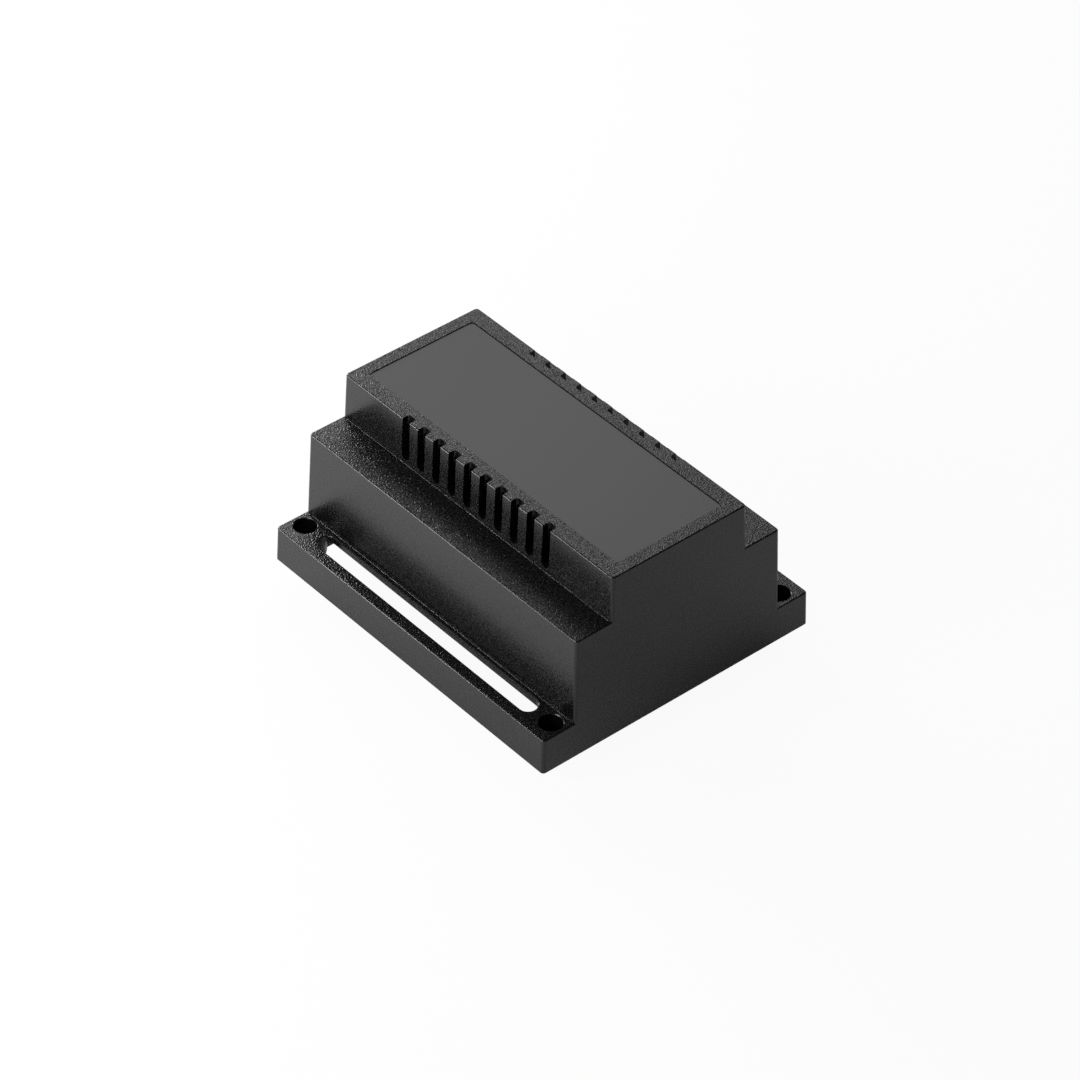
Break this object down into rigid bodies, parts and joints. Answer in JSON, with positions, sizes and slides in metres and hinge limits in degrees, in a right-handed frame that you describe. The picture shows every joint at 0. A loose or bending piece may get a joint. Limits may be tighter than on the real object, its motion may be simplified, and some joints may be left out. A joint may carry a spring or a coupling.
{
  "type": "din rail enclosure",
  "caption": "Stepped, vented plastic housing for electronics that clips onto a top-hat rail, with a flanged cover, screw-fixed base and sliding rail latches.",
  "frame": {"origin": "on the plane of the feet, under the middle of the housing", "axes": "+X along the rail, +Y across the rail towards the sliding latches, +Z away from the rail towards the label recess"},
  "size_m": [0.1078, 0.09, 0.058],
  "materials": {
    "cover_abs": "moulded ABS, spark-eroded matt texture",
    "base_abs": "moulded ABS, fine matt",
    "latch_plastic": "moulded acetal, satin",
    "spring_steel": "drawn spring wire",
    "screw_steel": "black-zinc plated"
  },
  "bodies": {
    "housing": {"cover": "cover_abs", "base": "base_abs", "cover_screws": "screw_steel", "latch_spring_left": "spring_steel", "latch_spring_right": "spring_steel"},
    "left_latch": {"rail_latch_left": "latch_plastic"},
    "right_latch": {"rail_latch_right": "latch_plastic"}
  },
  "joints": [
    {"name": "left_latch_slide", "type": "slide", "parent": "housing", "child": "left_latch", "axis": [0, 1, 0], "range_m": [0, 0.004], "stiffness_N_per_m": 800, "springref_m": -0.003, "deforming": ["latch_spring_left"]},
    {"name": "right_latch_slide", "type": "slide", "parent": "housing", "child": "right_latch", "axis": [0, 1, 0], "range_m": [0, 0.004], "stiffness_N_per_m": 800, "springref_m": -0.003, "deforming": ["latch_spring_right"]}
  ]
}
